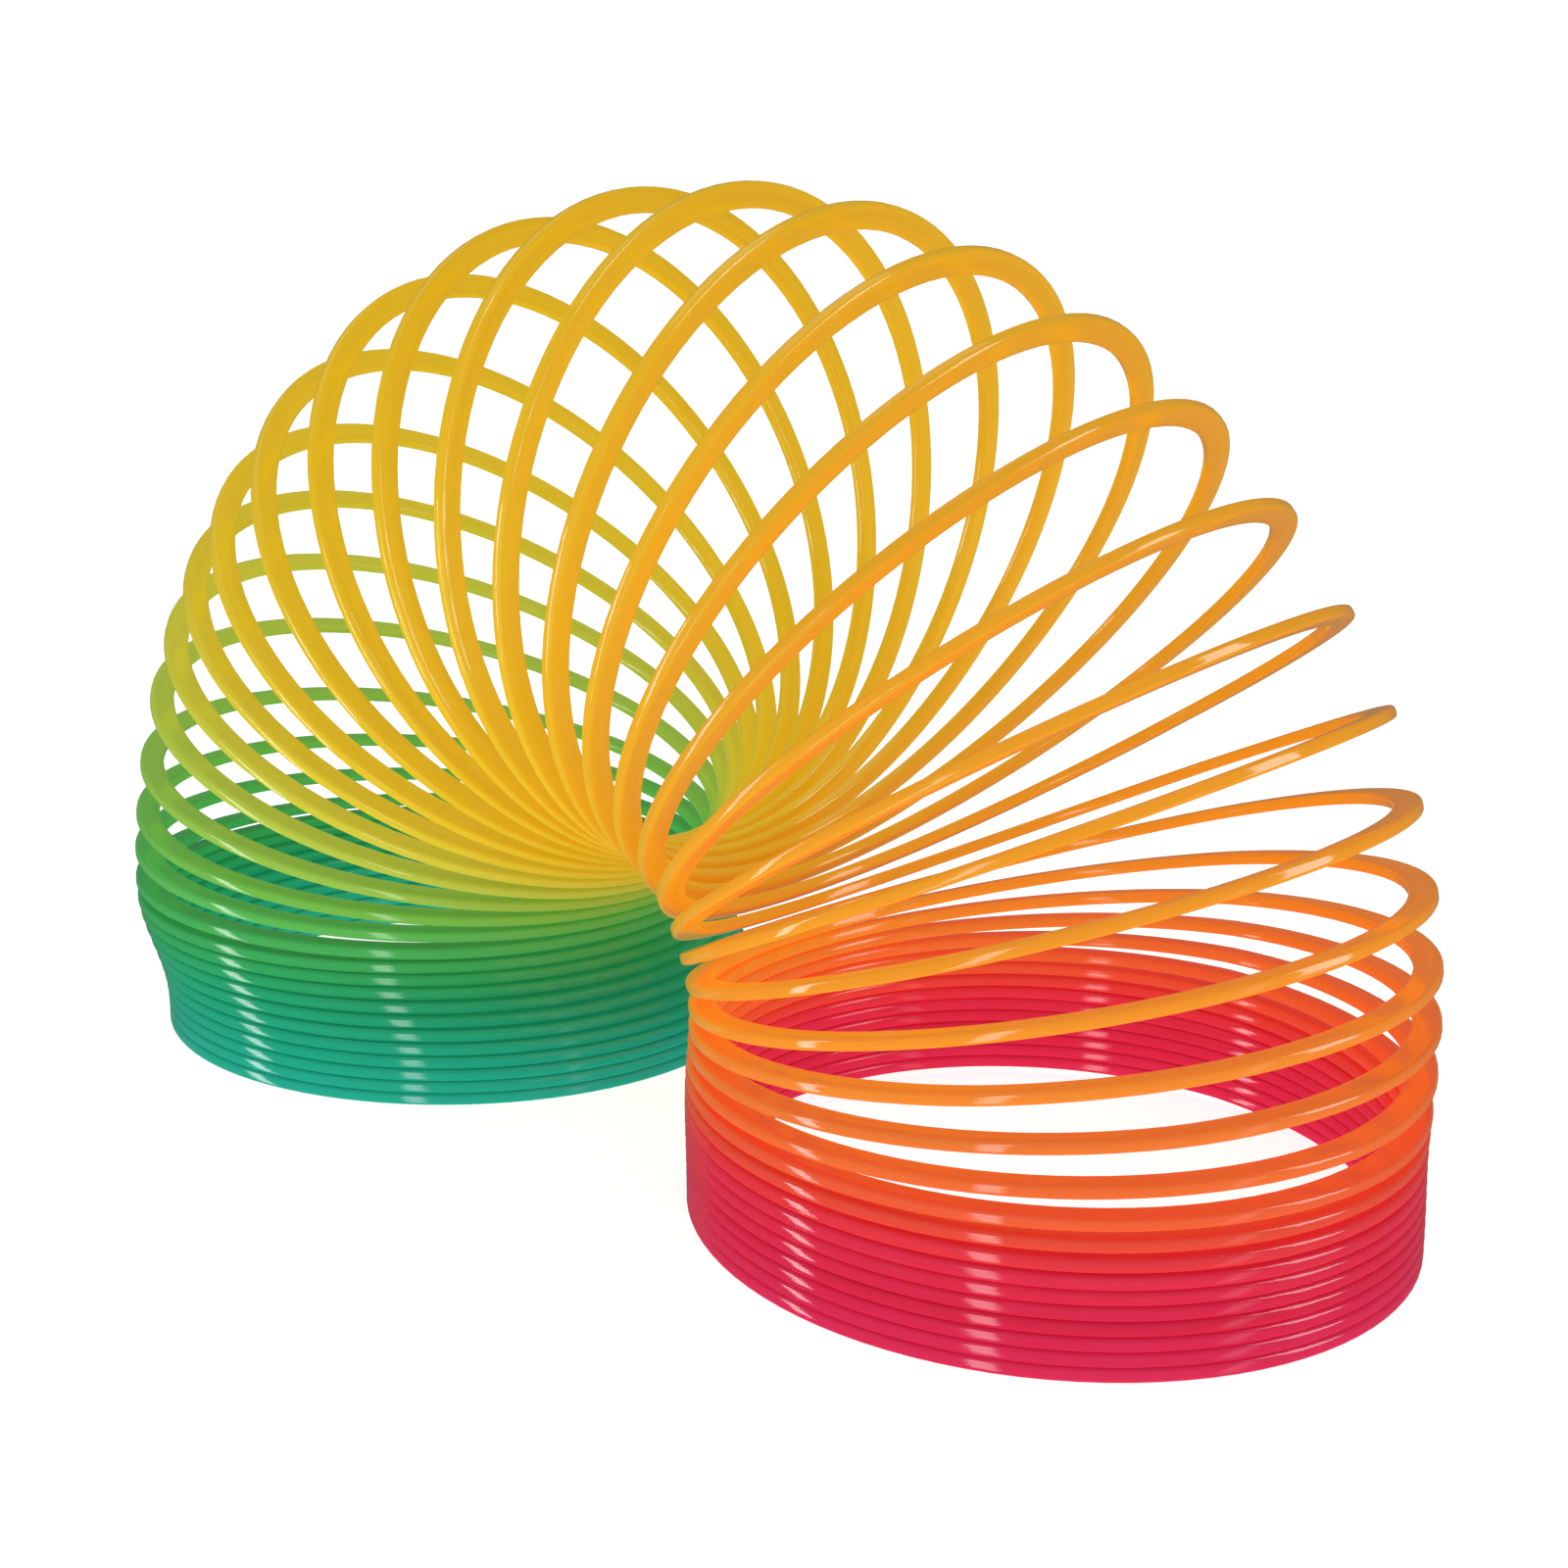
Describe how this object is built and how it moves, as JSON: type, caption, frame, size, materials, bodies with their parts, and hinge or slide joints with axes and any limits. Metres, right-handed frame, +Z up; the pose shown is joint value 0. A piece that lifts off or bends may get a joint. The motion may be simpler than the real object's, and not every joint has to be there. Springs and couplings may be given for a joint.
{
  "type": "spring coil toy",
  "caption": "Plastic spring coil toy standing as an arch: one flat strand wound in even turns, closed at both feet and fanned over the crown, in a rainbow gradient.",
  "frame": {"origin": "on the table, under the middle of the coil's overall box", "axes": "+X from the left (first) foot to the right (last) foot, +Y to the back, +Z up; the arch stands in the plane Y = 0"},
  "size_m": [0.1718, 0.075, 0.1023],
  "materials": {
    "teal": "glossy, slightly translucent",
    "green": "glossy, slightly translucent",
    "leaf_green": "glossy, slightly translucent",
    "lime": "glossy, slightly translucent",
    "yellow": "glossy, slightly translucent",
    "amber": "glossy, slightly translucent",
    "orange": "glossy, slightly translucent",
    "deep_orange": "glossy, slightly translucent",
    "red_orange": "glossy, slightly translucent",
    "crimson": "glossy, slightly translucent"
  },
  "bodies": {
    "left_stack": {"left_stack_turn_01": "teal", "left_stack_turn_02": "teal", "left_stack_turn_03": "teal", "left_stack_turn_04": "teal", "left_stack_turn_05": "green", "left_stack_turn_06": "green", "left_stack_turn_07": "green", "left_stack_turn_08": "green", "left_stack_turn_09": "green", "left_stack_turn_10": "leaf_green", "left_stack_turn_11": "leaf_green"},
    "arch_turn_12": {"arch_turn_12": "leaf_green"},
    "arch_turn_13": {"arch_turn_13": "leaf_green"},
    "arch_turn_14": {"arch_turn_14": "lime"},
    "arch_turn_15": {"arch_turn_15": "lime"},
    "arch_turn_16": {"arch_turn_16": "lime"},
    "arch_turn_17": {"arch_turn_17": "yellow"},
    "arch_turn_18": {"arch_turn_18": "yellow"},
    "arch_turn_19": {"arch_turn_19": "yellow"},
    "arch_turn_20": {"arch_turn_20": "yellow"},
    "arch_turn_21": {"arch_turn_21": "amber"},
    "arch_turn_22": {"arch_turn_22": "amber"},
    "arch_turn_23": {"arch_turn_23": "amber"},
    "arch_turn_24": {"arch_turn_24": "amber"},
    "arch_turn_25": {"arch_turn_25": "amber"},
    "arch_turn_26": {"arch_turn_26": "amber"},
    "arch_turn_27": {"arch_turn_27": "amber"},
    "arch_turn_28": {"arch_turn_28": "orange"},
    "arch_turn_29": {"arch_turn_29": "orange"},
    "arch_turn_30": {"arch_turn_30": "orange"},
    "arch_turn_31": {"arch_turn_31": "orange"},
    "arch_turn_32": {"arch_turn_32": "orange"},
    "arch_turn_33": {"arch_turn_33": "orange"},
    "arch_turn_34": {"arch_turn_34": "deep_orange"},
    "arch_turn_35": {"arch_turn_35": "deep_orange"},
    "arch_turn_36": {"arch_turn_36": "deep_orange"},
    "arch_turn_37": {"arch_turn_37": "red_orange"},
    "right_stack": {"right_stack_turn_38": "red_orange", "right_stack_turn_39": "crimson", "right_stack_turn_40": "crimson", "right_stack_turn_41": "crimson", "right_stack_turn_42": "crimson", "right_stack_turn_43": "crimson", "right_stack_turn_44": "crimson", "right_stack_turn_45": "crimson", "right_stack_turn_46": "crimson"}
  },
  "joints": [
    {"name": "fan_11_12", "type": "hinge", "parent": "left_stack", "child": "arch_turn_12", "pos_m": [-0.01213, 0, 0.01495], "axis": [0, -1, 0], "range_deg": [0, 0.441]},
    {"name": "fan_12_13", "type": "hinge", "parent": "arch_turn_12", "child": "arch_turn_13", "pos_m": [-0.01236, 0, 0.01665], "axis": [0, -1, 0], "range_deg": [0, 2.07]},
    {"name": "fan_13_14", "type": "hinge", "parent": "arch_turn_13", "child": "arch_turn_14", "pos_m": [-0.01219, 0, 0.01824], "axis": [0, -1, 0], "range_deg": [0, 3.2]},
    {"name": "fan_14_15", "type": "hinge", "parent": "arch_turn_14", "child": "arch_turn_15", "pos_m": [-0.01175, 0, 0.01978], "axis": [0, -1, 0], "range_deg": [0, 4.24]},
    {"name": "fan_15_16", "type": "hinge", "parent": "arch_turn_15", "child": "arch_turn_16", "pos_m": [-0.01108, 0, 0.02126], "axis": [0, -1, 0], "range_deg": [0, 7.2]},
    {"name": "fan_16_17", "type": "hinge", "parent": "arch_turn_16", "child": "arch_turn_17", "pos_m": [-0.01023, 0, 0.02269], "axis": [0, -1, 0], "range_deg": [0, 6.87]},
    {"name": "fan_17_18", "type": "hinge", "parent": "arch_turn_17", "child": "arch_turn_18", "pos_m": [-0.0092, 0, 0.02406], "axis": [0, -1, 0], "range_deg": [0, 6.88]},
    {"name": "fan_18_19", "type": "hinge", "parent": "arch_turn_18", "child": "arch_turn_19", "pos_m": [-0.008, 0, 0.02533], "axis": [0, -1, 0], "range_deg": [0, 7.66]},
    {"name": "fan_19_20", "type": "hinge", "parent": "arch_turn_19", "child": "arch_turn_20", "pos_m": [-0.00662, 0, 0.02647], "axis": [0, -1, 0], "range_deg": [0, 9.42]},
    {"name": "fan_20_21", "type": "hinge", "parent": "arch_turn_20", "child": "arch_turn_21", "pos_m": [-0.00507, 0, 0.02745], "axis": [0, -1, 0], "range_deg": [0, 11.66]},
    {"name": "fan_21_22", "type": "hinge", "parent": "arch_turn_21", "child": "arch_turn_22", "pos_m": [-0.0034, 0, 0.0282], "axis": [0, -1, 0], "range_deg": [0, 11.94]},
    {"name": "fan_22_23", "type": "hinge", "parent": "arch_turn_22", "child": "arch_turn_23", "pos_m": [-0.0016, 0, 0.0287], "axis": [0, -1, 0], "range_deg": [0, 11]},
    {"name": "fan_23_24", "type": "hinge", "parent": "arch_turn_23", "child": "arch_turn_24", "pos_m": [0.00027, 0, 0.02892], "axis": [0, -1, 0], "range_deg": [0, 10.75]},
    {"name": "fan_24_25", "type": "hinge", "parent": "arch_turn_24", "child": "arch_turn_25", "pos_m": [0.00215, 0, 0.02885], "axis": [0, -1, 0], "range_deg": [0, 10.32]},
    {"name": "fan_25_26", "type": "hinge", "parent": "arch_turn_25", "child": "arch_turn_26", "pos_m": [0.00399, 0, 0.02849], "axis": [0, -1, 0], "range_deg": [0, 9.79]},
    {"name": "fan_26_27", "type": "hinge", "parent": "arch_turn_26", "child": "arch_turn_27", "pos_m": [0.00573, 0, 0.02786], "axis": [0, -1, 0], "range_deg": [0, 9.37]},
    {"name": "fan_27_28", "type": "hinge", "parent": "arch_turn_27", "child": "arch_turn_28", "pos_m": [0.00731, 0, 0.027], "axis": [0, -1, 0], "range_deg": [0, 8.9]},
    {"name": "fan_28_29", "type": "hinge", "parent": "arch_turn_28", "child": "arch_turn_29", "pos_m": [0.0088, 0, 0.02589], "axis": [0, -1, 0], "range_deg": [0, 8.49]},
    {"name": "fan_29_30", "type": "hinge", "parent": "arch_turn_29", "child": "arch_turn_30", "pos_m": [0.01006, 0, 0.02461], "axis": [0, -1, 0], "range_deg": [0, 8.12]},
    {"name": "fan_30_31", "type": "hinge", "parent": "arch_turn_30", "child": "arch_turn_31", "pos_m": [0.01107, 0, 0.0232], "axis": [0, -1, 0], "range_deg": [0, 7.22]},
    {"name": "fan_31_32", "type": "hinge", "parent": "arch_turn_31", "child": "arch_turn_32", "pos_m": [0.01174, 0, 0.02184], "axis": [0, -1, 0], "range_deg": [0, 6.37]},
    {"name": "fan_32_33", "type": "hinge", "parent": "arch_turn_32", "child": "arch_turn_33", "pos_m": [0.01214, 0, 0.02045], "axis": [0, -1, 0], "range_deg": [0, 5.76]},
    {"name": "fan_33_34", "type": "hinge", "parent": "arch_turn_33", "child": "arch_turn_34", "pos_m": [0.01231, 0, 0.01905], "axis": [0, -1, 0], "range_deg": [0, 4.23]},
    {"name": "fan_34_35", "type": "hinge", "parent": "arch_turn_34", "child": "arch_turn_35", "pos_m": [0.01229, 0, 0.01763], "axis": [0, -1, 0], "range_deg": [0, 3.2]},
    {"name": "fan_35_36", "type": "hinge", "parent": "arch_turn_35", "child": "arch_turn_36", "pos_m": [0.01217, 0, 0.01621], "axis": [0, -1, 0], "range_deg": [0, 2.63]},
    {"name": "fan_36_37", "type": "hinge", "parent": "arch_turn_36", "child": "arch_turn_37", "pos_m": [0.01202, 0, 0.0148], "axis": [0, -1, 0], "range_deg": [0, 1.49]},
    {"name": "fan_37_38", "type": "hinge", "parent": "arch_turn_37", "child": "right_stack", "pos_m": [0.01189, 0, 0.01337], "axis": [0, -1, 0], "range_deg": [0, 0.631]}
  ],
  "couplings": [
    {"joint": "fan_11_12", "follows": "fan_21_22", "ratio": 0.03685},
    {"joint": "fan_12_13", "follows": "fan_21_22", "ratio": 0.17337},
    {"joint": "fan_13_14", "follows": "fan_21_22", "ratio": 0.26801},
    {"joint": "fan_14_15", "follows": "fan_21_22", "ratio": 0.35511},
    {"joint": "fan_15_16", "follows": "fan_21_22", "ratio": 0.60302},
    {"joint": "fan_16_17", "follows": "fan_21_22", "ratio": 0.57538},
    {"joint": "fan_17_18", "follows": "fan_21_22", "ratio": 0.57621},
    {"joint": "fan_18_19", "follows": "fan_21_22", "ratio": 0.64154},
    {"joint": "fan_19_20", "follows": "fan_21_22", "ratio": 0.78894},
    {"joint": "fan_20_21", "follows": "fan_21_22", "ratio": 0.97655},
    {"joint": "fan_22_23", "follows": "fan_21_22", "ratio": 0.92127},
    {"joint": "fan_23_24", "follows": "fan_21_22", "ratio": 0.90034},
    {"joint": "fan_24_25", "follows": "fan_21_22", "ratio": 0.86432},
    {"joint": "fan_25_26", "follows": "fan_21_22", "ratio": 0.81993},
    {"joint": "fan_26_27", "follows": "fan_21_22", "ratio": 0.78476},
    {"joint": "fan_27_28", "follows": "fan_21_22", "ratio": 0.74539},
    {"joint": "fan_28_29", "follows": "fan_21_22", "ratio": 0.71106},
    {"joint": "fan_29_30", "follows": "fan_21_22", "ratio": 0.68007},
    {"joint": "fan_30_31", "follows": "fan_21_22", "ratio": 0.60469},
    {"joint": "fan_31_32", "follows": "fan_21_22", "ratio": 0.5335},
    {"joint": "fan_32_33", "follows": "fan_21_22", "ratio": 0.48241},
    {"joint": "fan_33_34", "follows": "fan_21_22", "ratio": 0.35427},
    {"joint": "fan_34_35", "follows": "fan_21_22", "ratio": 0.26801},
    {"joint": "fan_35_36", "follows": "fan_21_22", "ratio": 0.22027},
    {"joint": "fan_36_37", "follows": "fan_21_22", "ratio": 0.12479},
    {"joint": "fan_37_38", "follows": "fan_21_22", "ratio": 0.05276}
  ]
}
